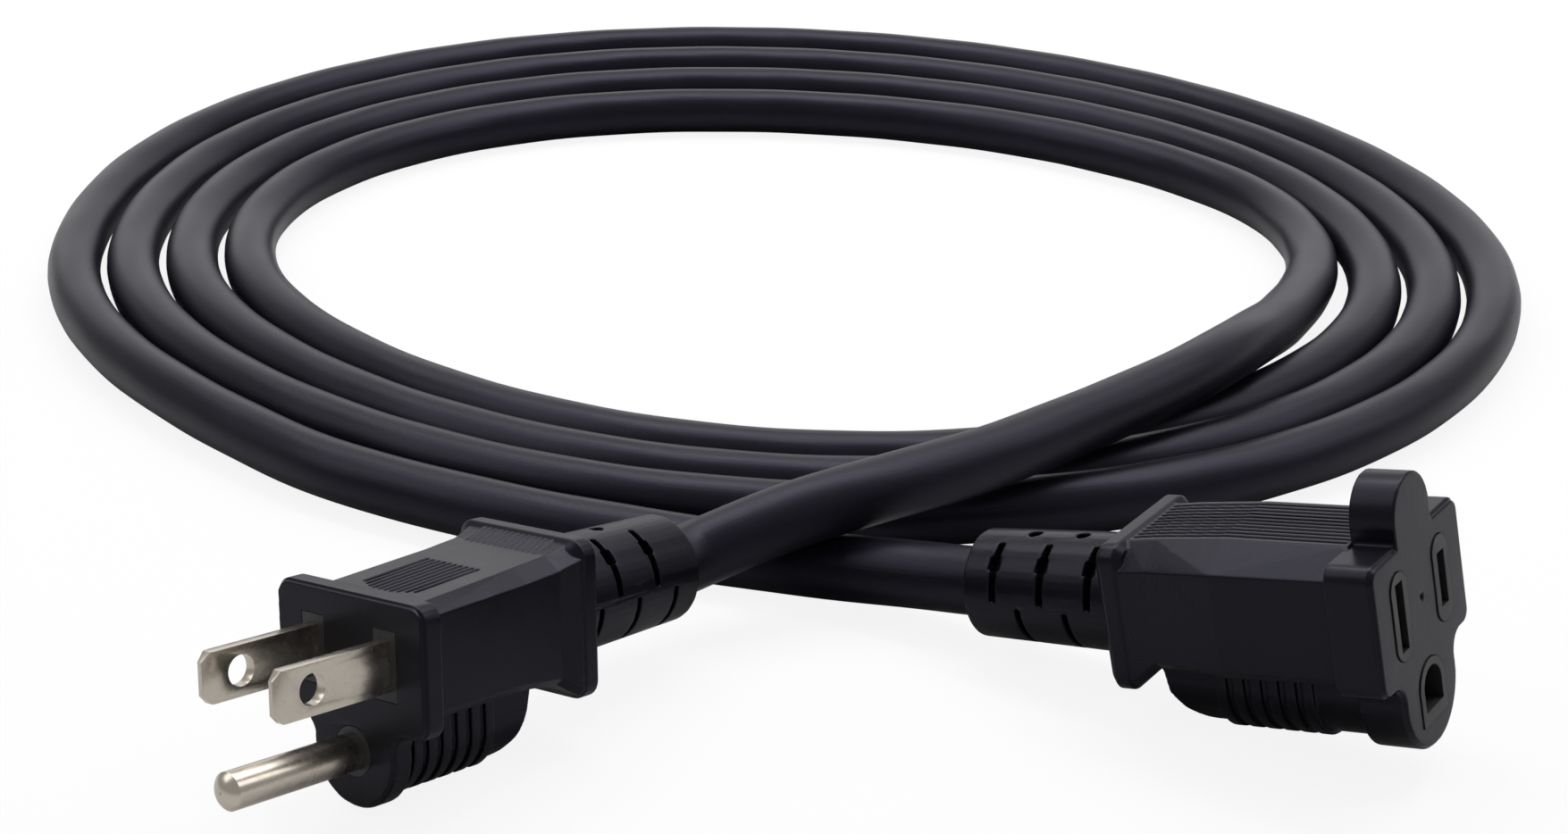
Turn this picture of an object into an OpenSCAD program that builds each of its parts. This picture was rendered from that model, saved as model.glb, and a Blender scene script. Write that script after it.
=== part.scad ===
// Extension cord: a moulded three-pin plug, a single-outlet connector and the loosely coiled cord.
// Plug and connector are drawn in their own frames: +X out of the face, +Z up, blades at z = 0.

/* [Cord] */
// outer diameter of the jacket
cord_d = 9.6; // [8:0.1:10.4]
// mean radius of the innermost loop
coil_r = 95; // [85:1:114]
// diameter of one insulated conductor
core_d = 3.4; // [2.8:0.1:3.6]

/* [Plug] */
// width of the face plate
plug_w = 26.2; // [24:0.2:31]
// depth of the face plate's rim
plug_rim = 3; // [2.4:0.1:4]
// width of the grip behind the rim
plug_grip_w = 21.4; // [20.6:0.2:23.6]
// face to the front of the flange
plug_l = 28.4; // [26:0.2:34]
// length of the blades outside the face
blade_l = 17.3; // [15.9:0.1:18.3]
// length of the ground pin outside the face
pin_l = 20.2; // [19:0.1:23]

/* [Connector] */
// width of the face plate
outlet_w = 26.8; // [26:0.2:32]
// depth of the face plate's rim
outlet_rim = 6.2; // [5:0.1:7.4]
// width of the grip at its fullest
outlet_grip_w = 23.8; // [22.6:0.2:25.6]
// face to the front of the flange
outlet_l = 35.6; // [34:0.2:42]
// height of the thumb tab over the face plate
tab_h = 7.6; // [6:0.2:9.2]

/* [Strain reliefs] */
// length of each strain relief
relief_l = 23; // [19.4:0.2:27.6]
// diameter at the flange
relief_d = 16; // [15.4:0.1:17]
// width of the flexing slots
slot_w = 1; // [0.8:0.1:1.3]

/* [Hidden] */
$fn = 48;
blade_gap = 12.7;
blade_w = 6.35;
blade_t = 1.5;
pin_d = 4.75;
pin_tail_d = 4;
pin_drop = 11.86;
copper_d = 1.85;
crimp_d = 4;
crimp_l = 5;
flange_t = 3.8;
tip_d = relief_d - 1.2;
slot_depth = 1.5;
fit = 0.1;
eps = 0.01;

// plug grip
plug_top = 8;
plug_bot = 8.7;
plug_lobe_r = 7.2;
plug_end = plug_l + flange_t + relief_l;
bridge_l = 11;
plug_crimp_x = bridge_l + 1;

// connector grip
outlet_top = 8.6;
outlet_bot = 8.6;
outlet_lobe_r = 8;
outlet_axis_z = -2.4;
outlet_end = outlet_l + flange_t + relief_l;
block_front = 6.5;
block_l = 22;
outlet_crimp_x = block_l + 0.6;

// where the two ends lie, seen from above, and how they are turned
spread = coil_r / 95;
plug_yaw = 229.9;
plug_pitch = 8.6;
plug_roll = 7.8;
outlet_yaw = -34.9;
outlet_pitch = 11.6;
outlet_roll = 1.2;
// both lie on their ground lobes. Each place that could touch is
// [distance behind the face, depth under the blades, half width]
plug_feet = [[plug_rim, pin_drop + plug_lobe_r, 0], [17.7, 17.47, 3.1], [19, 17.4, 1.8]];
outlet_feet = [[outlet_rim, pin_drop + outlet_lobe_r, 0], [25.2, 19.26, 0], [27.4, 18.6, 3]];
function rest_height(feet, pitch, roll) = max([for (f = feet)
    f[0] * sin(pitch) + (f[1] * cos(roll) + f[2] * sin(roll)) * cos(pitch)]);
plug_at = [-51.8 * spread, -165.7 * spread, rest_height(plug_feet, plug_pitch, plug_roll)];
outlet_at = [78.5 * spread, -157.1 * spread, rest_height(outlet_feet, outlet_pitch, outlet_roll)];

// the coil: a growing, slightly egg-shaped loop
loop_sides = 6;
loop_rings = 24;
first_turn = 2 / 24;
turns = 3.625;
coil_z = 0.4 * cord_d;
coil_x = 0.4 * spread;
coil_y = 33.3 * spread;

// ---------- shared helpers ----------

module at_plug()
    translate(plug_at) rotate([plug_roll, -plug_pitch, plug_yaw]) children();

module at_outlet()
    translate(outlet_at) rotate([outlet_roll, -outlet_pitch, outlet_yaw]) children();

// a flat shape drawn as (y, z), given a thickness that runs back from x
module plate(x, t)
    translate([x - t, 0, 0]) rotate([90, 0, 90]) linear_extrude(t) children();

// a flat shape drawn as (x, z), centred on y
module side_slab(y, t)
    translate([0, y + t / 2, 0]) rotate([90, 0, 0]) linear_extrude(t) children();

// a rod along x from x1 back to x2
module rod(x1, x2, y, z, d)
    translate([x1, y, z]) rotate([0, -90, 0]) cylinder(h = x1 - x2, d = d);

// a point of a plug or connector frame, in the part's frame
function turned(p, roll, pitch, yaw) =
    let (y1 = p.y * cos(roll) - p.z * sin(roll))
    let (z1 = p.y * sin(roll) + p.z * cos(roll))
    let (x2 = p.x * cos(pitch) - z1 * sin(pitch))
    let (z2 = p.x * sin(pitch) + z1 * cos(pitch))
    [x2 * cos(yaw) - y1 * sin(yaw), x2 * sin(yaw) + y1 * cos(yaw), z2];
function from_plug(p) = plug_at + turned(p, plug_roll, plug_pitch, plug_yaw);
function from_outlet(p) = outlet_at + turned(p, outlet_roll, outlet_pitch, outlet_yaw);

// a closed tube swept along points; level > -100 flattens whatever would fall below it
function unit(v) = v / norm(v);
function along(path, i) = unit(path[min(i + 1, len(path) - 1)] - path[max(i - 1, 0)]);
function ring(c, t, d, n, level) =
    let (s = unit(cross(t, [0, 0, 1])))
    let (u = cross(s, t))
    [for (j = [0:n - 1])
        let (p = c + d / 2 * (cos(360 * j / n) * s + sin(360 * j / n) * u))
        [p.x, p.y, max(p.z, level)]];

module tube(path, d, n, level = -100) {
    last = len(path) - 1;
    rings = [for (i = [0:last]) ring(path[i], along(path, i), d, n, level)];
    points = [for (r = rings) for (p = r) p];
    start = [for (j = [1:n - 2]) [0, j + 1, j]];
    end = [for (j = [1:n - 2]) [last * n, last * n + j, last * n + j + 1]];
    walls = [for (i = [0:last - 1]) for (j = [0:n - 1])
        let (a = i * n + j, b = i * n + (j + 1) % n)
        for (f = [[a, b, b + n], [a, b + n, a + n]]) f];
    polyhedron(points = points, faces = concat(start, walls, end));
}

// ---------- strain relief ----------

// part of a ring groove round the x axis, from angle a1 to a2 clockwise of the crown
module ring_cut(x, w, r1, r2, a1, a2)
    translate([x + w / 2, 0, 0]) rotate([0, -90, 0]) rotate([0, 0, a1])
        rotate_extrude(angle = a2 - a1) translate([r1, 0]) square([r2 - r1, w]);

// a tapered sleeve cut by staggered slots: `upper` and `lower` hold their distances from the flange
module relief(front, upper, lower) {
    floor_r = tip_d / 2 - slot_depth;
    pitch = relief_l / 6.25;
    difference() {
        translate([front, 0, 0]) rotate([0, -90, 0])
            cylinder(h = relief_l, d1 = relief_d, d2 = tip_d, $fn = 64);
        for (k = upper) {
            x = front - k * pitch;
            ring_cut(x, slot_w, floor_r, relief_d, 20, 88);
            ring_cut(x, slot_w, floor_r, relief_d, -88, -20);
            for (a = [38, -54])
                ring_cut(x, 1.7 * slot_w, floor_r - 0.4, relief_d, a, a + 16);
        }
        for (k = lower) {
            x = front - k * pitch;
            ring_cut(x, 0.8 * slot_w, floor_r, relief_d, 93, 150);
            ring_cut(x, 0.8 * slot_w, floor_r, relief_d, 210, 267);
            if (k < 5) translate([x, 0, floor_r]) cylinder(h = 5, d = 1.9, $fn = 20);
        }
        // the mould's parting line, at the height of the cord's axis
        for (s = [-1, 1])
            translate([front - relief_l / 2, s * relief_d / 2, 0])
                cube([relief_l - 1, 0.7, 0.3], center = true);
    }
}

// flange plate with softened edges
module flange(front, half_w, top, bot) {
    soft = 0.9;
    hull() {
        plate(front - soft, flange_t - 2 * soft) soft_box(half_w, top, bot, 2.4);
        plate(front, flange_t) soft_box(half_w - soft, top - soft, bot - soft, 1.8);
    }
}

module soft_box(half_w, top, bot, r)
    offset(r = r, $fn = 24) translate([-half_w + r, -bot + r])
        square([2 * (half_w - r), top + bot - 2 * r]);

// face outline: a box joined to the round lobe under the ground pin
module face_outline(half_w, top, bot, lobe_r, r, inset = 0)
    offset(delta = -inset) offset(r = -2.4, $fn = 32) offset(r = 2.4, $fn = 32) union() {
        soft_box(half_w, top, bot, r);
        translate([0, -pin_drop]) circle(lobe_r, $fn = 64);
    }

// the lobe's outline behind the rim
module lobe_section(r) {
    translate([0, -pin_drop]) circle(r, $fn = 64);
    translate([-r + 0.05, -pin_drop]) square([2 * r - 0.1, pin_drop - 5]);
}

// ribbed lobe under the grip, cut to a side profile
module lobe(back, r, rib_x, ribs, profile)
    intersection() {
        union() {
            plate(0, back) lobe_section(r - 0.6);
            for (i = [0:ribs - 1])
                plate(rib_x - 2.4 * i, 1.5) lobe_section(r);
        }
        side_slab(0, 30) polygon(profile);
    }

// ---------- plug ----------

// grip section: half width, top, bottom and the bevel along each top edge
module grip_section(half_w, top, bot, bev_w, bev_h)
    polygon([[half_w, top - bev_h], [half_w - bev_w, top], [bev_w - half_w, top],
        [-half_w, top - bev_h], [-half_w, 1 - bot], [1 - half_w, -bot],
        [half_w - 1, -bot], [half_w, 1 - bot]]);

module plug_shell() {
    w = plug_grip_w / 2;
    mid = plug_l * 0.7;
    flare = plug_l * 0.9;
    // rim with an eased front edge
    plate(0, 0.5) face_outline(plug_w / 2, plug_top, plug_bot, plug_lobe_r, 2.2, 0.35);
    plate(-0.5 + eps, plug_rim - 0.5 + eps)
        face_outline(plug_w / 2, plug_top, plug_bot, plug_lobe_r, 2.2);
    // tapered grip that flares into the flange
    hull() {
        plate(-plug_rim + 0.5, eps) grip_section(w, 7, 7.2, 2.5, 1.2);
        plate(-mid, eps) grip_section(w - 0.3, 8.2, 7.2, 2.5, 1.7);
    }
    hull() {
        plate(-mid, eps) grip_section(w - 0.3, 8.2, 7.2, 2.5, 1.7);
        plate(-flare, eps) grip_section(w - 0.2, 8.7, 7.8, 2.5, 1.7);
    }
    hull() {
        plate(-flare, eps) grip_section(w - 0.2, 8.7, 7.8, 2.5, 1.7);
        plate(-plug_l - 0.5, eps) grip_section(w + 0.4, 9.6, 10, 2.5, 1.7);
    }
    flange(-plug_l, w + 0.5, 10.2, 10.6);
    // ribbed underside, round the ground pin's tail
    lobe(plug_l - 2, 6.4, -plug_rim - 1.2, 6, [[-plug_rim + 0.5, -5], [-plug_rim + 0.5, -18.2],
        [-19, -17.4], [-21, -16.4], [-22.6, -14.6], [-24, -11.4], [-25.4, -5]]);
    relief(-plug_l - flange_t + eps, [2, 4], [1, 3, 5]);
}

module plug_body() {
    color([0.09, 0.09, 0.11]) at_plug() difference() {
        plug_shell();
        plug_insides();
        // finger grooves, longest in the middle
        for (i = [0:9]) {
            y = i - 4.5;
            front = 5.5 + 0.5 * max(0, abs(y) - 2);
            side_slab(y, 0.5)
                polygon([[-front, 6.8], [-front, 11], [-17.5, 11], [-17.5, 7.7]]);
        }
    }
    // short ribs against the flange
    color([0.09, 0.09, 0.11]) at_plug() for (i = [0:12])
        translate([-plug_l + 0.1, i - 6.25, 8]) rotate([0, 10, 0]) cube([3.4, 0.5, 1.1]);
}

// all that the overmould closes round
module plug_insides() {
    bridge_outline();
    for (s = [-1, 1]) rod(-bridge_l, -plug_crimp_x - crimp_l, s * blade_gap / 2, 0, crimp_d);
    rod(-bridge_l, -plug_crimp_x - crimp_l, 0, -pin_drop, crimp_d);
    for (k = [-1:1]) conduit(plug_route(k));
    rod(-plug_l - 2, -plug_end - 1, 0, 0, cord_d);
}

// the hard bridge that holds blades and pin at their spacing, its pads flush with the face
module bridge_outline() {
    for (s = [-1, 1]) translate([-bridge_l, s * blade_gap / 2 - 1.95, -4.35])
        cube([bridge_l, 3.9, 8.7]);
    translate([-bridge_l, -8.6, -4.8]) cube([bridge_l - 3.5, 17.2, 9.6]);
    translate([-bridge_l, -2.6, -10]) cube([bridge_l - 3.5, 5.2, 6]);
    rod(0, -bridge_l, 0, -pin_drop, 6.3);
}

module plug_bridge() {
    color([0.13, 0.13, 0.15]) at_plug() difference() {
        bridge_outline();
        for (s = [-1, 1]) translate([-bridge_l - 1, s * blade_gap / 2 - blade_t / 2, -blade_w / 2])
            cube([bridge_l + 2, blade_t, blade_w]);
        rod(1, -bridge_l - 1, 0, -pin_drop, pin_tail_d);
    }
}

// a crimp barrel open towards the cord
module crimp(x, y, z) difference() {
    rod(-x, -x - crimp_l, y, z, crimp_d);
    rod(-x - 0.6, -x - crimp_l - 1, y, z, copper_d + 2 * fit);
}

// one flat blade: bevelled tip, locking hole, and a tail that ends in a crimp
module blade(s) {
    taper = 1.5;
    y = s * blade_gap / 2;
    difference() {
        intersection() {
            translate([0, y, -blade_w / 2]) linear_extrude(blade_w)
                polygon([[-bridge_l, blade_t / 2], [blade_l - taper, blade_t / 2], [blade_l, 0.35],
                    [blade_l, -0.35], [blade_l - taper, -blade_t / 2], [-bridge_l, -blade_t / 2]]);
            side_slab(y, 4)
                polygon([[-bridge_l, blade_w / 2], [blade_l - 1.1, blade_w / 2],
                    [blade_l, blade_w / 2 - 1.1], [blade_l, 1.1 - blade_w / 2],
                    [blade_l - 1.1, -blade_w / 2], [-bridge_l, -blade_w / 2]]);
        }
        translate([11.8, y, 0]) rotate([90, 0, 0]) cylinder(h = 6, d = 3.9, center = true);
    }
    translate([-plug_crimp_x - 0.3, y - blade_t / 2, -crimp_d / 2 + 0.4])
        cube([1.4, blade_t, crimp_d - 0.8]);
    crimp(plug_crimp_x, y, 0);
}

module hot_blade() color([0.74, 0.69, 0.6]) at_plug() blade(-1);
module neutral_blade() color([0.74, 0.69, 0.6]) at_plug() blade(1);

module ground_pin() {
    nose = 2.4;
    color([0.74, 0.69, 0.6]) at_plug() {
        translate([0, 0, -pin_drop]) rotate([0, 90, 0]) rotate_extrude() {
            translate([0, -bridge_l]) square([pin_tail_d / 2, bridge_l + 1]);
            square([pin_d / 2, pin_l - nose]);
            intersection() {
                translate([0, pin_l - nose - eps]) square([pin_d / 2, nose + eps]);
                translate([0, pin_l - 3.1]) circle(3.1);
            }
        }
        rod(-bridge_l + 0.2, -plug_crimp_x - 0.3, 0, -pin_drop, copper_d);
        crimp(plug_crimp_x, 0, -pin_drop);
    }
}

// conductor routes: k = -1 hot, 1 neutral, 0 ground
function core_seat(k) = k == 0 ? [0, -2.1] : [k * 1.85, 1.05];
function plug_route(k) =
    let (seat = core_seat(k), x = -plug_crimp_x - crimp_l)
    let (y = k * blade_gap / 2, z = k == 0 ? -pin_drop : 0)
    [[x, y, z], [x - 1.4, y, z], [-plug_l - 1, seat.x, seat.y], [-plug_end, seat.x, seat.y]];
function plug_copper_route(k) =
    let (r = plug_route(k))
    [r[0] + [crimp_l - 0.7, 0, 0], r[1], r[2], r[3]];

// the passage the overmould leaves round a conductor
module conduit(route)
    tube([route[0] + [0.5, 0, 0], route[1], route[2], route[3] + [5, 0, 0]], core_d + 2 * fit, 8);

module wire(route) difference() {
    tube(route, core_d, 8);
    tube(concat([route[0] + [1, 0, 0]], [route[1], route[2]], [route[3] - [1, 0, 0]]),
        copper_d + fit, 8);
}

module jacket(front, back, z) difference() {
    rod(front, back, 0, z, cord_d);
    for (k = [-1:1])
        rod(front + 1, back - 1, core_seat(k).x, z + core_seat(k).y, core_d + fit);
}

module plug_wire_hot() color([0.06, 0.06, 0.06]) at_plug() wire(plug_route(-1));
module plug_wire_neutral() color([0.9, 0.9, 0.88]) at_plug() wire(plug_route(1));
module plug_wire_ground() color([0.1, 0.5, 0.2]) at_plug() wire(plug_route(0));
module plug_copper_hot() color([0.8, 0.45, 0.25]) at_plug() tube(plug_copper_route(-1), copper_d, 8);
module plug_copper_neutral() color([0.8, 0.45, 0.25]) at_plug() tube(plug_copper_route(1), copper_d, 8);
module plug_copper_ground() color([0.8, 0.45, 0.25]) at_plug() tube(plug_copper_route(0), copper_d, 8);
module plug_jacket() color([0.09, 0.09, 0.11]) at_plug() jacket(-plug_l - 2, -plug_end, 0);

// ---------- connector ----------

module outlet_section(half_w, top, low)
    polygon([[half_w, top - 2.8], [6.6, top], [-6.6, top], [-half_w, top - 2.8],
        [-half_w, 1.2 - low], [1.2 - half_w, -low], [half_w - 1.2, -low], [half_w, 1.2 - low]]);

module outlet_shell() {
    w = outlet_grip_w / 2;
    waist = outlet_l * 0.63;
    flare = outlet_l * 0.9;
    // rim with an eased front edge
    plate(0, 0.5) face_outline(outlet_w / 2, outlet_top, outlet_bot, outlet_lobe_r, 2, 0.4);
    plate(-0.5 + eps, outlet_rim - 0.5 + eps)
        face_outline(outlet_w / 2, outlet_top, outlet_bot, outlet_lobe_r, 2);
    // thumb tab
    plate(0, outlet_rim - 0.3) {
        translate([0, outlet_top + tab_h - 5.3]) circle(5.3, $fn = 64);
        translate([-5.25, 2]) square([10.5, outlet_top + tab_h - 7.3]);
    }
    // grip: fullest at the waist, drawn in towards the flange, flared below
    hull() {
        plate(-outlet_rim + 0.5, eps) outlet_section(w - 0.5, 8.9, 8.1);
        plate(-waist, eps) outlet_section(w, 8.9, 8.3);
    }
    hull() {
        plate(-waist, eps) outlet_section(w, 8.9, 8.3);
        plate(-flare, eps) outlet_section(w - 1, 8.3, 8.2);
    }
    hull() {
        plate(-flare, eps) outlet_section(w - 1, 8.3, 8.2);
        plate(-outlet_l - 0.5, eps) outlet_section(w - 1.3, 7.9, 11.4);
    }
    flange(-outlet_l, w - 1.1, 8.2, 12);
    // ribbed underside, round the ground contact
    lobe(outlet_l - 1, 7.4, -12.6, 6, [[-outlet_rim + 0.5, -5], [-outlet_rim + 0.5, -19.3],
        [-25, -19.3], [-27.4, -18.6], [-29.6, -17.4], [-31.6, -15.6], [-33.2, -13], [-34.6, -5]]);
    translate([0, 0, outlet_axis_z]) relief(-outlet_l - flange_t + eps, [1, 3, 5], [2, 4]);
}

module outlet_body() {
    pitch = 1.1;
    color([0.09, 0.09, 0.11]) at_outlet() difference() {
        outlet_shell();
        outlet_insides();
        // grooves that run the length of the grip, following its top
        for (i = [0:10])
            side_slab((i - 5) * pitch, 0.5)
                polygon([[-outlet_rim, 11], [-outlet_l - 0.2, 11], [-outlet_l - 0.2, 7.45],
                    [-outlet_l * 0.9, 7.85], [-outlet_l * 0.63, 8.42], [-outlet_rim, 8.42]]);
        // gate mark in the middle of the face
        rod(1, -0.4, 0, 0, 0.9);
    }
}

module outlet_insides() {
    block_outline();
    for (s = [-1, 1]) rod(-block_l, -outlet_crimp_x - crimp_l, s * blade_gap / 2, 0, crimp_d);
    rod(-block_l, -outlet_crimp_x - crimp_l, 0, -pin_drop, crimp_d);
    for (k = [-1:1]) conduit(outlet_route(k));
    rod(-outlet_l - 2, -outlet_end - 1, 0, outlet_axis_z, cord_d);
}

// hard block that carries the contacts; its collars show as thin frames round the openings
module block_outline() {
    for (s = [-1, 1]) plate(0.15, block_front + 1) translate([s * blade_gap / 2, 0]) collar();
    plate(0.15, block_front + 1) translate([0, -pin_drop]) ground_hole(3.7, 4.4);
    translate([-block_l, -9.8, -5.8]) cube([block_l - block_front, 19.6, 11.6]);
    translate([-block_l, -4.2, -16]) cube([block_l - block_front, 8.4, 11]);
}

module collar() {
    for (s = [-1, 1]) translate([0, s * 3.4]) circle(2.3, $fn = 40);
    translate([-2.25, -3.4]) square([4.5, 6.8]);
}

// round on top, flat below
module ground_hole(r, low) {
    circle(r, $fn = 48);
    translate([-r + 0.03, -low]) square([2 * r - 0.06, low]);
}

module contact_block() {
    color([0.12, 0.12, 0.14]) at_outlet() difference() {
        block_outline();
        // blade slots: the neutral one is taller
        for (s = [-1, 1]) {
            h = s < 0 ? 8.9 : 7.1;
            translate([-5, s * blade_gap / 2 - 1.05, -h / 2]) cube([6, 2.1, h]);
            translate([-block_l + 1, s * blade_gap / 2 - 1.8, -4.6]) cube([block_l - 5, 3.6, 9.2]);
            rod(-block_l + 2, -block_l - 1, s * blade_gap / 2, 0, crimp_d);
        }
        plate(1, 6) translate([0, -pin_drop]) ground_hole(2.7, 2.7);
        rod(-4.9, -block_l + 1, 0, -pin_drop, 6);
        rod(-block_l + 2, -block_l - 1, 0, -pin_drop, crimp_d);
    }
}

// one leaf of a blade contact, seen from above
module leaf(back)
    polygon([[back, 1.8], [-15, 1.8], [-9, 1.2], [-5.4, 1.75], [-5.4, 1.2], [-9, 0.65],
        [-15, 1.25], [back, 1.25]]);

module blade_contact(s, h) {
    y = s * blade_gap / 2;
    back = -block_l + 1;
    translate([0, y, -h / 2]) linear_extrude(h) {
        leaf(back);
        mirror([0, 1]) leaf(back);
        translate([back, -1.8]) square([0.6, 3.6]);
    }
    translate([-outlet_crimp_x - 0.3, y - 0.6, -0.9]) cube([back + outlet_crimp_x + 0.4, 1.2, 1.8]);
    crimp(outlet_crimp_x, y, 0);
}

module hot_contact() color([0.78, 0.62, 0.32]) at_outlet() blade_contact(1, 6.4);
module neutral_contact() color([0.78, 0.62, 0.32]) at_outlet() blade_contact(-1, 7.6);

// split sleeve that grips the ground pin
module ground_contact() {
    back = -block_l + 1;
    color([0.78, 0.62, 0.32]) at_outlet() {
        difference() {
            rod(-5.2, back, 0, -pin_drop, 5.9);
            rod(-5, back + 0.8, 0, -pin_drop, pin_d);
            translate([-18, -0.6, -pin_drop]) cube([14, 1.2, 4]);
        }
        rod(back + 0.2, -outlet_crimp_x - 0.3, 0, -pin_drop, copper_d);
        crimp(outlet_crimp_x, 0, -pin_drop);
    }
}

function outlet_route(k) =
    let (seat = core_seat(k), x = -outlet_crimp_x - crimp_l)
    let (y = k * blade_gap / 2, z = k == 0 ? -pin_drop : 0)
    [[x, y, z], [x - 1, y, z], [-outlet_l - 1.4, seat.x, seat.y + outlet_axis_z],
        [-outlet_end, seat.x, seat.y + outlet_axis_z]];
function outlet_copper_route(k) =
    let (r = outlet_route(k))
    [r[0] + [crimp_l - 0.7, 0, 0], r[1], r[2], r[3]];

module outlet_wire_hot() color([0.06, 0.06, 0.06]) at_outlet() wire(outlet_route(1));
module outlet_wire_neutral() color([0.9, 0.9, 0.88]) at_outlet() wire(outlet_route(-1));
module outlet_wire_ground() color([0.1, 0.5, 0.2]) at_outlet() wire(outlet_route(0));
module outlet_copper_hot() color([0.8, 0.45, 0.25]) at_outlet() tube(outlet_copper_route(1), copper_d, 8);
module outlet_copper_neutral()
    color([0.8, 0.45, 0.25]) at_outlet() tube(outlet_copper_route(-1), copper_d, 8);
module outlet_copper_ground()
    color([0.8, 0.45, 0.25]) at_outlet() tube(outlet_copper_route(0), copper_d, 8);
module outlet_jacket()
    color([0.09, 0.09, 0.11]) at_outlet() jacket(-outlet_l - 2, -outlet_end, outlet_axis_z);

// ---------- cord ----------

// the loop is slightly egg-shaped and grows most at the back, where the turns lie loosest
function loop_base(a) = 0.3 * spread + coil_r * (1 + 0.017 * cos(a) - 0.045 * sin(a)
    + 0.042 * cos(2 * a) - 0.065 * sin(2 * a) + 0.006 * cos(3 * a) + 0.01 * sin(3 * a));
function loop_growth(a) = cord_d * (1.07 + 0.85 * pow(max(0, sin(a)), 2));
function loop_at(t) =
    let (a = 360 * t, r = loop_base(a) + loop_growth(a) * t)
    [coil_x + r * cos(a), coil_y + r * sin(a), coil_z];
function loop_way(t) = unit(loop_at(t + 0.002) - loop_at(t - 0.002));

// turn numbers of the rings, and straight run-outs of one cord diameter at both ends
loop_turns = [for (i = [0:round((turns - first_turn) * loop_rings)]) first_turn + i / loop_rings];
loop_points = [for (t = loop_turns) loop_at(t)];
inner_end = loop_at(first_turn);
way_in = unit(inner_end - loop_at(first_turn - cord_d / (6.3 * coil_r)));
coil_in = inner_end - cord_d * way_in;
coil_out = loop_at(turns) + cord_d * loop_way(turns);
coil_path = concat([coil_in], loop_points, [coil_out]);
last_ring = len(loop_points) - 1;
loop_gaps = [for (i = [0:last_ring]) for (j = [i + loop_rings / 2:1:last_ring])
    norm(loop_points[i] - loop_points[j]) - cord_d];
echo(least_gap_between_loops = min(loop_gaps));

// hand-placed points of the two free leads, seen from above, with the height of the axis
function placed(p) = [p.x * spread, p.y * spread, p.z];
plug_lead_points = [[-7, -114.3, 11.3], [1, -111.5, 13.5], [9, -108.3, 14.9], [18, -102.7, 15.1],
    [30.7, -93.1, 14.9], [43.6, -81.1, 14.8], [56.1, -68.5, 14.5], [64, -60.5, 14.3],
    [69.8, -53, 14], [74.6, -44.2, 12.6], [79.4, -34.3, 10.6], [84.4, -23, 8.8], [88.3, -12, 7.4],
    [93, 1.5, 5.9], [97.2, 17, 4.6], [99.2, 31, 4], [98, 45.6, 3.84], [93.8, 59, 3.84]];
outlet_lead_points = [[16.4, -113.9, 5.8], [5, -108.2, 4.2], [-7, -104.8, 3.84],
    [-20, -100.3, 3.84], [-35, -94.3, 3.84], [-48, -87.8, 3.84], [-60, -80.7, 3.84],
    [-72, -72.7, 3.84]];
plug_tip = from_plug([-plug_end, 0, 0]);
plug_tip_out = from_plug([-plug_end - cord_d / 2, 0, 0]);
outlet_tip = from_outlet([-outlet_end, 0, outlet_axis_z]);
outlet_tip_out = from_outlet([-outlet_end - cord_d / 2, 0, outlet_axis_z]);
plug_lead_path = concat([plug_tip, plug_tip_out], [for (p = plug_lead_points) placed(p)],
    [coil_in - cord_d / 2 * way_in, coil_in]);
outlet_lead_path = concat([outlet_tip, outlet_tip_out], [for (p = outlet_lead_points) placed(p)],
    [coil_out + cord_d / 2 * loop_way(turns), coil_out]);

module plug_lead() color([0.1, 0.1, 0.12]) tube(plug_lead_path, cord_d, 10, 0);
module coil() color([0.1, 0.1, 0.12]) tube(coil_path, cord_d, loop_sides, 0);
module outlet_lead() color([0.1, 0.1, 0.12]) tube(outlet_lead_path, cord_d, 10, 0);

plug_body();
plug_bridge();
hot_blade();
neutral_blade();
ground_pin();
plug_wire_hot();
plug_wire_neutral();
plug_wire_ground();
plug_copper_hot();
plug_copper_neutral();
plug_copper_ground();
plug_jacket();
outlet_body();
contact_block();
hot_contact();
neutral_contact();
ground_contact();
outlet_wire_hot();
outlet_wire_neutral();
outlet_wire_ground();
outlet_copper_hot();
outlet_copper_neutral();
outlet_copper_ground();
outlet_jacket();
plug_lead();
coil();
outlet_lead();
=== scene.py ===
# %% [markdown]
# # A coiled extension cord
# The real object is 3 m of black vinyl cord with a plug moulded on one end and a
# connector moulded on the other. It is thrown down in a loose coil. The hard parts come
# from a measured model that never moves, and this script gives everything its surface.

import math

import bmesh
import bpy
import numpy as np
from mathutils import Matrix, Vector


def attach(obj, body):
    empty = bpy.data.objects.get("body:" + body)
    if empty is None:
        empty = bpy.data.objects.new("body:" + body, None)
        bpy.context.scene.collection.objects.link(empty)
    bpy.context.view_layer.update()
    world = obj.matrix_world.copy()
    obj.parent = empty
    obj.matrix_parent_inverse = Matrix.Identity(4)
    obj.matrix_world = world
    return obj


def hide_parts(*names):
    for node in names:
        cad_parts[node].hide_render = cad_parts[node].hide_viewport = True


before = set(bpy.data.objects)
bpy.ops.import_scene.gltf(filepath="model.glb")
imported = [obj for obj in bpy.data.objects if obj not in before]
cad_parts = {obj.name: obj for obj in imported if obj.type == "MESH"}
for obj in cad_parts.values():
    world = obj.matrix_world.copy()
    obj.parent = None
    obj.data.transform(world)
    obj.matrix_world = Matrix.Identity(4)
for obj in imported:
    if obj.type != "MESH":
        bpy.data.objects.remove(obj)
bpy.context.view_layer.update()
MM = 0.001
print("nodes:", len(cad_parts))

# %% [markdown]
# ## Camera
# A product picture of a low, wide thing is taken from a little above it, far enough away
# that the near plug isn't blown up. A long lens and a tilt of 22.5 degrees do that. The
# place is given in millimetres, because that is how it was worked out.

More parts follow.
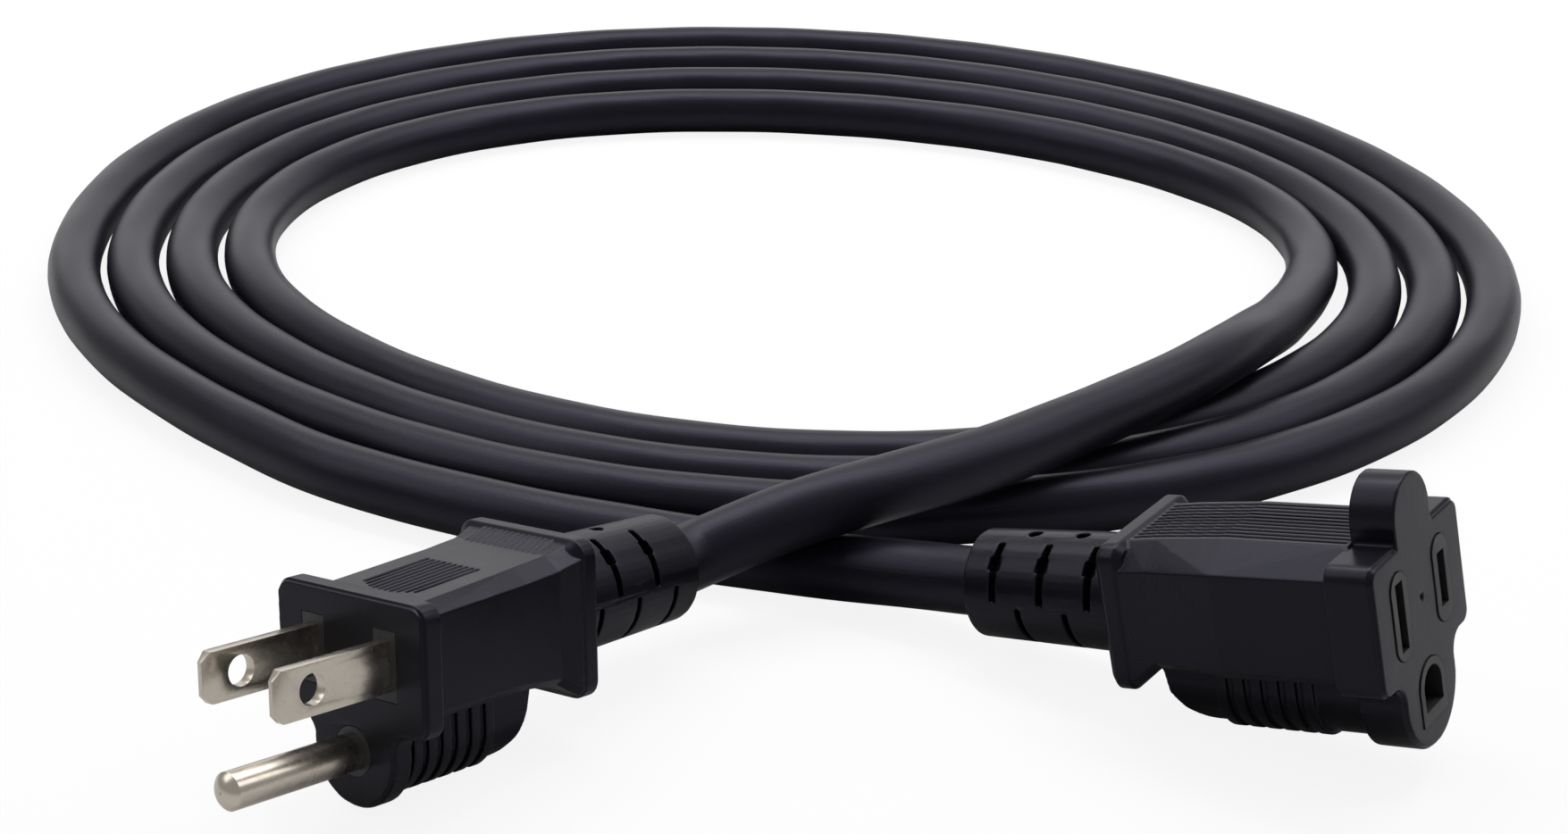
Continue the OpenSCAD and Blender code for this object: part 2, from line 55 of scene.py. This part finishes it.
# %% Camera
CAMERA_PLACE = Vector((0.4, -452.0, 169.8)) * MM
CAMERA_TILT_DOWN = 22.48
camera_data = bpy.data.cameras.new("product_camera")
camera_data.lens = 61.54
camera_data.sensor_width = 36.0
camera_data.clip_start = 0.01
camera_data.clip_end = 10.0
camera = bpy.data.objects.new("product_camera", camera_data)
camera.location = CAMERA_PLACE
camera.rotation_euler = (math.radians(90.0 - CAMERA_TILT_DOWN), 0.0, 0.0)
bpy.context.scene.collection.objects.link(camera)
bpy.context.scene.camera = camera
print("camera at", [round(x, 3) for x in camera.location], "m")

# %% [markdown]
# ## The cord's route
# A cord is one length of something springy, so it gets one continuous route. It leaves the
# connector, joins the outer loop, winds inwards for three and a half turns, crosses over
# its own front strands in a long low hump and ends in the plug. The loops come from a
# formula, because each turn has to lie just outside the one before. The two free leads are
# listed point by point, because nothing but a look at such a cord says where they go.

# %% The loops
CORD_DIAMETER = 9.6
ON_FLOOR = CORD_DIAMETER / 2
COIL_CENTRE = (0.4, 33.3)
COIL_RADIUS = 95.0
INNER_TURN = 0.104
OUTER_TURN = 3.61
POINTS_PER_TURN = 24


def loop_radius(angle, turn):
    """Distance from the coil's centre: a slightly egg-shaped loop that grows every turn."""
    shape = (
        0.9958
        + 0.0153 * math.cos(angle)
        - 0.0349 * math.sin(angle)
        + 0.032 * math.cos(2 * angle)
        - 0.0587 * math.sin(2 * angle)
        - 0.0038 * math.cos(3 * angle)
        + 0.0179 * math.sin(3 * angle)
    )
    back = max(0.0, math.sin(angle)) ** 2
    growth = CORD_DIAMETER * (
        1.125 + 0.107 * math.sin(angle) - 0.007 * math.cos(angle)
        + (0.7 - 0.224 * math.cos(angle)) * back
    )
    return COIL_RADIUS * shape + growth * turn


def loop_point(turn):
    angle = 2 * math.pi * turn
    radius = loop_radius(angle, turn)
    x = COIL_CENTRE[0] + radius * math.cos(angle)
    y = COIL_CENTRE[1] + radius * math.sin(angle)
    return (x, y, ON_FLOOR)


loop_count = round((OUTER_TURN - INNER_TURN) * POINTS_PER_TURN)
loops = [loop_point(t) for t in np.linspace(OUTER_TURN, INNER_TURN, loop_count)]
print("loop points:", len(loops), "in", round(OUTER_TURN - INNER_TURN, 2), "turns")

# %% The two free leads, as points in millimetres on the cord's axis
connector_lead = [
    (32.1, -124.7, 9.85), (28.8, -122.4, 9.0), (24.9, -119.7, 8.1), (16.4, -114.1, 6.4),
    (5.0, -108.6, 5.0), (-7.0, -104.6, 4.8), (-20.0, -100.0, 4.8), (-35.0, -93.9, 4.8),
    (-48.0, -87.4, 4.8), (-60.0, -80.3, 4.8), (-72.0, -72.3, 4.8),
]
plug_lead = [
    (82.6, 79.2, 4.8), (90.1, 68.4, 4.8), (95.5, 57.4, 4.8), (98.6, 46.0, 4.8),
    (99.9, 31.0, 4.9), (98.2, 16.0, 5.4), (93.6, 0.5, 6.4), (88.4, -13.0, 8.0),
    (84.3, -24.0, 9.8), (79.0, -35.6, 12.2), (74.2, -46.0, 14.3), (69.5, -54.4, 15.2),
    (63.8, -61.5, 15.3), (56.1, -69.5, 15.1), (43.6, -81.8, 15.2), (30.7, -93.8, 15.2),
    (18.0, -103.0, 15.4), (9.0, -108.6, 15.4), (1.0, -112.4, 14.4), (-7.0, -116.0, 12.5),
    (-13.6, -120.3, 11.3), (-16.6, -124.0, 11.9), (-19.2, -127.0, 12.5),
]
control_points = np.array(connector_lead + loops + plug_lead)
print("points on the leads:", len(connector_lead), "and", len(plug_lead))

# %% [markdown]
# A thick cord can't kink, so the points are joined by a curve through all of them, cut into
# even steps, and then relaxed a little, as the vinyl's own stiffness would do it. The two
# ends stay where they are, because the mouldings hold them.

# %% Join and relax the points
STEP = 3.0
RELAXINGS = 10
HELD_STEPS = 4
CUTS_PER_POINT = 12


def even_steps(points, step):
    """The same line with points `step` apart."""
    lengths = np.linalg.norm(np.diff(points, axis=0), axis=1)
    run = np.concatenate(([0.0], np.cumsum(lengths)))
    marks = np.linspace(0.0, run[-1], max(2, round(run[-1] / step) + 1))
    return np.column_stack([np.interp(marks, run, points[:, k]) for k in range(3)])


def curve_through(points, cuts):
    """A Catmull-Rom curve through the points."""
    padded = np.vstack((2 * points[0] - points[1], points, 2 * points[-1] - points[-2]))
    line = []
    for i in range(1, len(padded) - 2):
        a, b, c, d = padded[i - 1 : i + 3]
        for t in np.arange(cuts) / cuts:
            line.append(0.5 * (2 * b + (c - a) * t + (2 * a - 5 * b + 4 * c - d) * t**2
                               + (3 * b - a - 3 * c + d) * t**3))
    line.append(points[-1])
    return np.array(line)


axis_mm = even_steps(curve_through(control_points, CUTS_PER_POINT), STEP)
for _ in range(RELAXINGS):
    middle = 0.25 * axis_mm[:-2] + 0.5 * axis_mm[1:-1] + 0.25 * axis_mm[2:]
    kept = slice(HELD_STEPS, len(middle) - HELD_STEPS)
    axis_mm[1 + HELD_STEPS : -1 - HELD_STEPS] = middle[kept]
axis_mm = even_steps(axis_mm, STEP)

# %% [markdown]
# ## The cord's jacket
# The jacket is extruded round three twisted conductors and their filler. It is round, but
# the twist shows through as a swell of a few hundredths of a millimetre that winds along
# it and makes its long highlights waver. A tube built ring by ring can carry that swell,
# and its own map of length and girth, which a bevelled curve can't.

# %% Build the jacket
SIDES = 28
CONDUCTOR_LAY = 70.0
SWELL = 0.035


def jacket_rings(axis, diameter):
    """Ring points round the axis, swollen where a conductor lies beneath."""
    way = np.gradient(axis, axis=0)
    way /= np.linalg.norm(way, axis=1)[:, None]
    side = np.cross(way, (0.0, 0.0, 1.0))
    side /= np.linalg.norm(side, axis=1)[:, None]
    up = np.cross(side, way)
    run = np.concatenate(([0.0], np.cumsum(np.linalg.norm(np.diff(axis, axis=0), axis=1))))
    rings = []
    for i, centre in enumerate(axis):
        for j in range(SIDES):
            angle = 2 * math.pi * j / SIDES
            swell = SWELL * math.sin(3 * (angle + 2 * math.pi * run[i] / CONDUCTOR_LAY))
            radius = diameter / 2 - SWELL + swell
            offset = math.cos(angle) * side[i] + math.sin(angle) * up[i]
            rings.append(centre + radius * offset)
    return np.array(rings), run


def tube_mesh(name, rings, run, sides):
    """One closed tube with a map: u is metres along the cord, v is the way round it."""
    count = len(run)
    faces = []
    for i in range(count - 1):
        for j in range(sides):
            k = (j + 1) % sides
            here, there = i * sides, (i + 1) * sides
            faces.append((here + j, here + k, there + k, there + j))
    faces.append(tuple(reversed(range(sides))))
    faces.append(tuple(range((count - 1) * sides, count * sides)))
    mesh = bpy.data.meshes.new(name)
    mesh.from_pydata([tuple(p) for p in rings * MM], [], faces)
    layer = mesh.uv_layers.new(name="along_and_around")
    for polygon in mesh.polygons:
        for loop_index in polygon.loop_indices:
            ring, corner = divmod(mesh.loops[loop_index].vertex_index, sides)
            around = corner / sides
            if corner == 0 and polygon.index % sides == sides - 1:
                around = 1.0
            layer.data[loop_index].uv = (run[ring] * MM, around)
    mesh.shade_smooth()
    mesh.update()
    return mesh


ring_points, run_mm = jacket_rings(axis_mm, CORD_DIAMETER)
jacket_mesh = tube_mesh("cord_jacket", ring_points, run_mm, SIDES)
cord = bpy.data.objects.new("cord_jacket", jacket_mesh)
bpy.context.scene.collection.objects.link(cord)
print("cord_jacket:", len(cord.data.polygons), "faces")

# %% [markdown]
# ## The two overmoulds
# Plug and connector are shot in soft vinyl straight round the blades, contacts and cord.
# Each lies at its own slant, so each gets its own axes: length, width and height. Later
# steps work along those and not the room's, so that flat faces stay flat and fine ribs
# come out as straight lines.

# %% The mouldings' own axes
def own_axes(length_way, width_way):
    """A turn whose columns are a moulding's length, width and height."""
    length_way = Vector(length_way).normalized()
    width_way = Vector(width_way).normalized()
    height_way = length_way.cross(width_way).normalized()
    width_way = height_way.cross(length_way)
    return Matrix((length_way, width_way, height_way)).transposed().to_4x4()


PLUG_AXES = own_axes((-0.636881, -0.756321, 0.149535), (0.770916, -0.622641, 0.13419))
CONNECTOR_AXES = own_axes((0.8034, -0.56046, 0.201078), (0.5686, 0.8224, 0.0206))
print("plug points", [round(x, 3) for x in PLUG_AXES.col[0]][:3])

# %% [markdown]
# Where the plug's top rises to its flange it carries a row of short ribs. The measured
# solid has them buried a few tenths too deep to show, so they are laid on again here as
# little blocks whose tops rise out of the slope, to 0.3 mm above it at the flange.

# %% The short ribs
# the middle of the plug's face in millimetres along the plug's own axes
PLUG_FACE_MIDDLE = Vector((161.33, 65.945, -13.065))
RIBS = 13
RIB_WIDTH = 0.5
# where each end of a rib is behind the face, and the heights of its foot and its top
RIB_FRONT = (-25.3, 7.9, 8.72)
RIB_BACK = (-28.7, 8.6, 9.85)


def short_rib(first_side):
    """The eight corners of one rib, in the room."""
    corners = []
    for along, low, high in (RIB_FRONT, RIB_BACK):
        for across in (first_side, first_side + RIB_WIDTH):
            for up in (low, high):
                place = PLUG_FACE_MIDDLE + Vector((along, across, up))
                corners.append(PLUG_AXES @ (place * MM))
    return corners


short_ribs = [short_rib(i - RIBS / 2 + RIB_WIDTH / 2) for i in range(RIBS)]
print("short ribs:", len(short_ribs))

# %% [markdown]
# Vinyl never leaves a mould with a knife edge: every corner is eased by a few tenths. The
# measured solids have sharp edges, so each is copied, turned into an even skin of small
# squares, smoothed just enough to ease its edges, and thinned out again where it is flat.

# %% Ease the edges of a measured solid
def copy_of(node, name):
    piece = bpy.data.objects.new(name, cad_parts[node].data.copy())
    bpy.context.scene.collection.objects.link(piece)
    piece.data.materials.clear()
    return piece


def settle(piece, axes):
    """Makes the modifiers' result the piece's own mesh, and turns it back into place."""
    evaluated = piece.evaluated_get(bpy.context.evaluated_depsgraph_get())
    mesh = bpy.data.meshes.new_from_object(evaluated)
    piece.modifiers.clear()
    piece.data = mesh
    mesh.transform(axes)
    print(piece.name, "has", len(mesh.polygons), "faces")


# the six faces of a block, by the order of its corners
BLOCK_FACES = (
    (0, 1, 3, 2), (4, 6, 7, 5), (0, 4, 5, 1), (2, 3, 7, 6), (0, 2, 6, 4), (1, 5, 7, 3),
)


def eased_copy(node, name, axes, grain, easing, keep, added=()):
    """A copy of a CAD node, `added` blocks and all, with edges rounded by a few `grain`s."""
    piece = copy_of(node, name)
    bm = bmesh.new()
    bm.from_mesh(piece.data)
    for block in added:
        corners = [bm.verts.new(corner) for corner in block]
        for face in BLOCK_FACES:
            bm.faces.new([corners[k] for k in face])
    bm.to_mesh(piece.data)
    bm.free()
    piece.data.transform(axes.inverted())
    weld = piece.modifiers.new("weld", "WELD")
    weld.merge_threshold = 1e-6
    skin = piece.modifiers.new("skin", "REMESH")
    skin.mode = "VOXEL"
    skin.voxel_size = grain * MM
    smooth = piece.modifiers.new("ease", "SMOOTH")
    smooth.factor = 0.5
    smooth.iterations = easing
    thin = piece.modifiers.new("thin", "DECIMATE")
    thin.ratio = keep
    settle(piece, axes)
    piece.data.shade_smooth()
    return piece


# %% [markdown]
# Now both mouldings can be made. The plug's top falls by 4 degrees towards its face, and
# its squares are laid along that slope.

# %% The two mouldings
PLUG_TOP_FALL = math.radians(3.95)
PLUG_TOP_AXES = PLUG_AXES @ Matrix.Rotation(PLUG_TOP_FALL, 4, "Y")
plug_grain = 0.12
connector_grain = 0.16
plug_moulding = eased_copy(
    "plug_body", "plug_overmould", PLUG_TOP_AXES, plug_grain,
    easing=5, keep=0.15, added=short_ribs,
)
connector_moulding = eased_copy(
    "outlet_body", "connector_overmould", CONNECTOR_AXES, connector_grain,
    easing=4, keep=0.2,
)

# %% [markdown]
# ## Blades and pin
# Blades are punched from strip and then coined, so their outline and the rim of their hole
# carry a small chamfer that catches the light. A bevel on a copy of each gives that.

# %% Chamfer the plated pieces
CHAMFER_STEPS = 3
CHAMFERED_ABOVE = math.radians(35.0)
SHARP_ABOVE = math.radians(32.0)


def chamfered_copy(node, name, width):
    piece = copy_of(node, name)
    weld = piece.modifiers.new("weld", "WELD")
    weld.merge_threshold = 1e-6
    chamfer = piece.modifiers.new("chamfer", "BEVEL")
    chamfer.width = width * MM
    chamfer.segments = CHAMFER_STEPS
    chamfer.limit_method = "ANGLE"
    chamfer.angle_limit = CHAMFERED_ABOVE
    settle(piece, Matrix.Identity(4))
    piece.data.shade_smooth()
    piece.data.set_sharp_from_angle(angle=SHARP_ABOVE)
    return piece


plated = [
    chamfered_copy("hot_blade", "hot_blade_plated", width=0.2),
    chamfered_copy("neutral_blade", "neutral_blade_plated", width=0.2),
    chamfered_copy("ground_pin", "ground_pin_plated", width=0.15),
]

# %% [markdown]
# ## Finishes: the tools
# Every finish is a small network of nodes, and the same few come back each time: noise in
# a chosen scale, a value turned into another range, two colours blended, bumps stacked. A
# small class holds a material with one short method for each.

# %% Helpers for finishes
def rgba(sockets, name=None):
    """The colour socket of a mix node, which has one socket of each name per data type."""
    return [s for s in sockets if s.type == "RGBA" and name in (None, s.name)][0]


class Finish:
    """A material with its shader at hand."""

    def __init__(self, name):
        self.material = bpy.data.materials.new(name)
        self.material.use_nodes = True
        self.nodes = self.material.node_tree.nodes
        self.links = self.material.node_tree.links
        self.shader = self.nodes["Principled BSDF"]
        self.where = self.nodes.new("ShaderNodeTexCoord")

    def link(self, out, into):
        self.links.new(out, into)

    def stretched(self, source, scale, rotation=(0.0, 0.0, 0.0)):
        """Coordinates from `source`, scaled and turned."""
        mapping = self.nodes.new("ShaderNodeMapping")
        mapping.inputs["Scale"].default_value = scale
        mapping.inputs["Rotation"].default_value = rotation
        self.link(self.where.outputs[source], mapping.inputs["Vector"])
        return mapping.outputs["Vector"]

    def noise(self, vector, scale, detail=4.0, roughness=0.55):
        texture = self.nodes.new("ShaderNodeTexNoise")
        texture.inputs["Scale"].default_value = scale
        texture.inputs["Detail"].default_value = detail
        texture.inputs["Roughness"].default_value = roughness
        self.link(vector, texture.inputs["Vector"])
        return texture.outputs["Fac"]

    def ranged(self, value, low, high, to_low, to_high):
        """Maps low..high of a value to another range, and stops at its ends."""
        node = self.nodes.new("ShaderNodeMapRange")
        node.inputs["From Min"].default_value = low
        node.inputs["From Max"].default_value = high
        node.inputs["To Min"].default_value = to_low
        node.inputs["To Max"].default_value = to_high
        self.link(value, node.inputs["Value"])
        return node.outputs["Result"]

    def blend(self, factor, first, second):
        """Two colours mixed by a factor. Either colour may be a tuple or a socket."""
        node = self.nodes.new("ShaderNodeMix")
        node.data_type = "RGBA"
        self.link(factor, node.inputs["Factor"])
        for socket, colour in (("A", first), ("B", second)):
            target = rgba(node.inputs, socket)
            if isinstance(colour, tuple):
                target.default_value = (*colour, 1.0)
            else:
                self.link(colour, target)
        return rgba(node.outputs)

    def bump(self, height, distance, strength=1.0, under=None):
        node = self.nodes.new("ShaderNodeBump")
        node.inputs["Distance"].default_value = distance
        node.inputs["Strength"].default_value = strength
        self.link(height, node.inputs["Height"])
        if under is not None:
            self.link(under, node.inputs["Normal"])
        return node.outputs["Normal"]

    def edges(self, low, high):
        """1 on worn outer edges, 0 elsewhere, from how sharply the surface turns."""
        geometry = self.nodes.new("ShaderNodeNewGeometry")
        return self.ranged(geometry.outputs["Pointiness"], low, high, 0.0, 1.0)

    def finish(self, colour, roughness, normal):
        self.link(colour, self.shader.inputs["Base Color"])
        self.link(roughness, self.shader.inputs["Roughness"])
        self.link(normal, self.shader.inputs["Normal"])
        print("finish:", self.material.name)
        return self.material


# %% [markdown]
# ## Black vinyl on the cord
# Extruded vinyl is satin. The die draws very fine lines along it, handling leaves patches
# that are a shade duller, and the black has a little blue and violet in it. The tube's own
# map lets the lines run along the cord wherever it bends.

# %% The jacket's finish
def jacket_finish():
    f = Finish("jacket_vinyl")
    f.shader.inputs["Specular IOR Level"].default_value = 0.2
    f.shader.inputs["Specular Tint"].default_value = (0.77, 0.745, 1.0, 1.0)
    place = f.stretched("Object", (1.0, 1.0, 1.0))
    along = f.stretched("UV", (6.0, 60.0, 1.0))
    patches = f.noise(place, 28.0)
    grain = f.noise(place, 2200.0, detail=2.0)
    die_lines = f.noise(along, 4.0, detail=5.0)
    colour = f.blend(f.ranged(patches, 0.35, 0.7, 0.0, 1.0),
                     (0.0072, 0.0069, 0.0108), (0.0115, 0.0108, 0.0168))
    roughness = f.ranged(patches, 0.3, 0.7, 0.27, 0.36)
    normal = f.bump(die_lines, 0.00003)
    normal = f.bump(grain, 0.000012, under=normal)
    return f.finish(colour, roughness, normal)


cord.data.materials.append(jacket_finish())

# %% [markdown]
# ## Black vinyl on the mouldings
# The mould's steel is lightly blasted, so the overmoulds carry an even, very fine grain.
# Edges that rub on pavements turn a little lighter and smoother, and flat tops hold faint
# scratches. Vinyl near its gate cools unevenly, which shows as broad soft mottling.

# %% The overmould's finish
def moulding_finish():
    f = Finish("moulded_vinyl")
    f.shader.inputs["Specular IOR Level"].default_value = 0.2
    f.shader.inputs["Specular Tint"].default_value = (0.79, 0.775, 1.0, 1.0)
    place = f.stretched("Object", (1.0, 1.0, 1.0))
    mottling = f.noise(place, 60.0)
    grain = f.noise(place, 3200.0, detail=2.0)
    scratches = f.noise(f.stretched("Object", (40.0, 400.0, 200.0), (0.0, 0.0, 0.65)), 3.0)
    base = f.blend(f.ranged(mottling, 0.35, 0.7, 0.0, 1.0),
                   (0.005, 0.005, 0.0074), (0.0082, 0.008, 0.0118))
    colour = f.blend(f.edges(0.53, 0.62), base, (0.022, 0.0215, 0.026))
    roughness = f.ranged(mottling, 0.3, 0.7, 0.25, 0.33)
    normal = f.bump(scratches, 0.000012)
    normal = f.bump(grain, 0.00001, under=normal)
    return f.finish(colour, roughness, normal)


vinyl = moulding_finish()
for moulding in (plug_moulding, connector_moulding):
    moulding.data.materials.append(vinyl)

# %% [markdown]
# ## The hard inserts
# The bridge that spaces the blades and the block that carries the contacts are moulded
# first, in a harder and slightly greyer plastic. They show only as pads round the blades
# and as thin collars round the slots.

# %% The insert's finish
def insert_finish():
    f = Finish("hard_insert")
    place = f.stretched("Object", (1.0, 1.0, 1.0))
    mottling = f.noise(place, 180.0)
    grain = f.noise(place, 2600.0)
    colour = f.blend(f.ranged(mottling, 0.35, 0.7, 0.0, 1.0),
                     (0.015, 0.0148, 0.017), (0.024, 0.0235, 0.026))
    roughness = f.ranged(mottling, 0.3, 0.7, 0.42, 0.55)
    return f.finish(colour, roughness, f.bump(grain, 0.00001))


def dress(node, material):
    """Gives a CAD node one finish in all its slots."""
    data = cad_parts[node].data
    data.materials.clear()
    data.materials.append(material)


insert = insert_finish()
for node in ("plug_bridge", "contact_block"):
    dress(node, insert)

# %% [markdown]
# ## Nickel on the blades and the pin
# The blades are punched from brass strip and plated with nickel, which looks a little
# warm. Rolling leaves fine lines along them, and each time they are pushed home the
# contacts rub in longer, duller streaks. The lines have to follow the blades, so the
# coordinates are turned by the plug's own angle on the floor.

# %% The plating's finish
PLUG_YAW = math.radians(229.9)


def plating_finish(name, dull, bright, smooth, worn):
    f = Finish(name)
    f.shader.inputs["Metallic"].default_value = 1.0
    lengthwise = f.stretched("Object", (40.0, 900.0, 900.0), (0.0, 0.0, -PLUG_YAW))
    place = f.stretched("Object", (1.0, 1.0, 1.0))
    rolling = f.noise(lengthwise, 1.0, detail=1.0)
    stains = f.noise(place, 90.0, detail=2.0)
    colour = f.blend(f.ranged(stains, 0.3, 0.72, 0.0, 1.0), dull, bright)
    roughness = f.ranged(rolling, 0.3, 0.7, smooth, worn)
    return f.finish(colour, roughness, f.bump(rolling, 0.000002))


nickel = plating_finish(
    "nickel_plating", (0.55, 0.5, 0.425), (0.61, 0.56, 0.48), smooth=0.24, worn=0.29
)
for piece in plated:
    piece.data.materials.append(nickel)
brass = plating_finish(
    "spring_brass", (0.55, 0.38, 0.14), (0.72, 0.53, 0.24), smooth=0.25, worn=0.4
)
for node in ("hot_contact", "neutral_contact", "ground_contact"):
    dress(node, brass)
copper = plating_finish(
    "bare_copper", (0.6, 0.27, 0.13), (0.78, 0.4, 0.22), smooth=0.3, worn=0.45
)
for end in ("plug", "outlet"):
    for core in ("hot", "neutral", "ground"):
        dress(f"{end}_copper_{core}", copper)

# %% [markdown]
# ## The conductors' insulation
# Inside the mouldings the three conductors part to their crimps. Their colours are the
# usual ones: black for line, white for neutral, green for ground. Nobody sees them here,
# but whoever takes the model apart will.

# %% The insulation's finishes
def insulation_finish(name, dark, light):
    f = Finish(name)
    place = f.stretched("Object", (1.0, 1.0, 1.0))
    mottling = f.noise(place, 220.0)
    colour = f.blend(f.ranged(mottling, 0.3, 0.7, 0.0, 1.0), dark, light)
    roughness = f.ranged(mottling, 0.3, 0.7, 0.3, 0.42)
    return f.finish(colour, roughness, f.bump(f.noise(place, 1800.0), 0.00001))


insulation = {
    "hot": insulation_finish("black_insulation", (0.012, 0.012, 0.012), (0.03, 0.03, 0.03)),
    "neutral": insulation_finish("white_insulation", (0.7, 0.69, 0.66), (0.82, 0.81, 0.79)),
    "ground": insulation_finish("green_insulation", (0.02, 0.22, 0.06), (0.04, 0.32, 0.1)),
}
for end in ("plug", "outlet"):
    for core, material in insulation.items():
        dress(f"{end}_wire_{core}", material)
    dress(f"{end}_jacket", cord.data.materials[0])

# %% [markdown]
# ## Floor and light
# The cord lies on a white sweep. The white is the floor's own colour, partly given as plain
# light to the camera so that it doesn't need strong lamps, and its painted part keeps the
# soft shadow under the cord. Both floor and surroundings look pale to the camera and, less
# so, in gloss and metal, and stay dim for the light that falls on the cord. Otherwise the
# undersides, which are nearly black on the real cord, would glow.

# %% Who sees the white
def seen_share(nodes, links, mirrored_share):
    """1 for the camera, `mirrored_share` for reflections and 0 for all other light."""
    rays = nodes.new("ShaderNodeLightPath")
    mirrored = nodes.new("ShaderNodeMath")
    mirrored.operation = "MULTIPLY"
    mirrored.inputs[1].default_value = mirrored_share
    links.new(rays.outputs["Is Glossy Ray"], mirrored.inputs[0])
    seen = nodes.new("ShaderNodeMath")
    seen.operation = "MAXIMUM"
    links.new(rays.outputs["Is Camera Ray"], seen.inputs[0])
    links.new(mirrored.outputs["Value"], seen.inputs[1])
    return seen.outputs["Value"]


# %% Floor
FLOOR_HALF = 6.0
MIRRORED_FLOOR = 0.65
FLOOR_GLOW = 0.88


def floor_finish():
    f = Finish("white_sweep")
    output = f.nodes["Material Output"]
    place = f.stretched("Object", (1.0, 1.0, 1.0))
    paper = f.noise(place, 8.0)
    pale = f.blend(paper, (0.9, 0.9, 0.905), (0.93, 0.93, 0.93))
    seen = seen_share(f.nodes, f.links, MIRRORED_FLOOR)
    colour = f.blend(seen, (0.3, 0.3, 0.3), pale)
    roughness = f.ranged(paper, 0.3, 0.7, 0.85, 0.95)
    f.finish(colour, roughness, f.bump(f.noise(place, 600.0), 0.00001))
    f.shader.inputs["Specular IOR Level"].default_value = 0.0
    glow = f.nodes.new("ShaderNodeEmission")
    glow.inputs["Color"].default_value = (1.0, 1.0, 1.0, 1.0)
    glow.inputs["Strength"].default_value = 1.0
    only_camera = seen_share(f.nodes, f.links, 0.0)
    mix = f.nodes.new("ShaderNodeMixShader")
    f.link(f.ranged(only_camera, 0.0, 1.0, 0.0, FLOOR_GLOW), mix.inputs["Fac"])
    f.link(f.shader.outputs["BSDF"], mix.inputs[1])
    f.link(glow.outputs["Emission"], mix.inputs[2])
    f.link(mix.outputs["Shader"], output.inputs["Surface"])
    return f.material


corners = [(x * FLOOR_HALF, y * FLOOR_HALF, 0) for x, y in ((-1, -1), (1, -1), (1, 1), (-1, 1))]
floor_mesh = bpy.data.meshes.new("floor")
floor_mesh.from_pydata(corners, [], [(0, 1, 2, 3)])
floor = bpy.data.objects.new("floor", floor_mesh)
floor_mesh.materials.append(floor_finish())
bpy.context.scene.collection.objects.link(floor)
print("floor:", 2 * FLOOR_HALF, "m square")

# %% [markdown]
# A broad soft light above and a lower one behind draw the long sheen on every strand and
# leave the fronts dark. A narrow strip gives that sheen a crisper core, and a small light
# on either side reaches what leans towards the viewer: the two leads and strain reliefs.

# %% Lamps
def soft_lamp(name, place, target, size, watts, colour):
    lamp_data = bpy.data.lights.new(name, "AREA")
    lamp_data.shape = "RECTANGLE"
    lamp_data.size, lamp_data.size_y = size
    lamp_data.energy = watts
    lamp_data.color = colour
    lamp = bpy.data.objects.new(name, lamp_data)
    lamp.location = place
    lamp.rotation_euler = (Vector(target) - Vector(place)).to_track_quat("-Z", "Y").to_euler()
    bpy.context.scene.collection.objects.link(lamp)
    print(name, watts, "W")
    return lamp


COOL = (0.98, 0.97, 1.0)
AIM = (0, 0, 0)
soft_lamp("broad_top_light", (0.0, 0.5, 1.25), AIM, (1.9, 1.0), 14.5, COOL)
soft_lamp("strip_light", (0.15, 0.25, 1.0), AIM, (1.1, 0.1), 3.0, (1.0, 1.0, 1.0))
soft_lamp("low_back_light", (0.0, 1.5, 0.5), AIM, (2.4, 0.8), 4.1, COOL)
soft_lamp("left_fill", (-0.95, -0.15, 0.9), AIM, (0.7, 0.7), 2.8, (1.0, 0.98, 0.96))
soft_lamp("right_fill", (1.0, 0.05, 0.9), AIM, (0.7, 0.7), 2.8, (0.98, 0.98, 1.0))

# %% [markdown]
# The surroundings are dim for the light that falls on the cord and white to the camera.

# %% Surroundings
ROOM_LEVEL = 0.12
MIRRORED_LEVEL = 0.3

world = bpy.data.worlds.new("studio")
world.use_nodes = True
bpy.context.scene.world = world
nodes, links = world.node_tree.nodes, world.node_tree.links
surround = nodes["Background"]
surround.inputs["Color"].default_value = (1.0, 1.0, 1.0, 1.0)
level = nodes.new("ShaderNodeMapRange")
level.inputs["To Min"].default_value = ROOM_LEVEL
level.inputs["To Max"].default_value = 1.0
links.new(seen_share(nodes, links, MIRRORED_LEVEL), level.inputs["Value"])
links.new(level.outputs["Result"], surround.inputs["Strength"])
bpy.context.scene.view_settings.view_transform = "Standard"
print("surroundings at", ROOM_LEVEL)

# %% [markdown]
# ## The new pieces take the measured solids' places
# The measured model stays in charge of size and collision. Each new piece goes with the one
# body, and the solid it replaces is hidden. The cord takes the place of the measured
# model's two leads and coil in the same way.

# %% Tie the pieces to the measured model
for piece, node, finish in (
    (plug_moulding, "plug_body", "overmould"),
    (connector_moulding, "outlet_body", "overmould"),
    (plated[0], "hot_blade", "plated_blade"),
    (plated[1], "neutral_blade", "plated_blade"),
    (plated[2], "ground_pin", "plated_blade"),
):
    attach(piece, "root")
    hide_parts(node)

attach(cord, "root")
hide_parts("plug_lead", "coil", "outlet_lead")
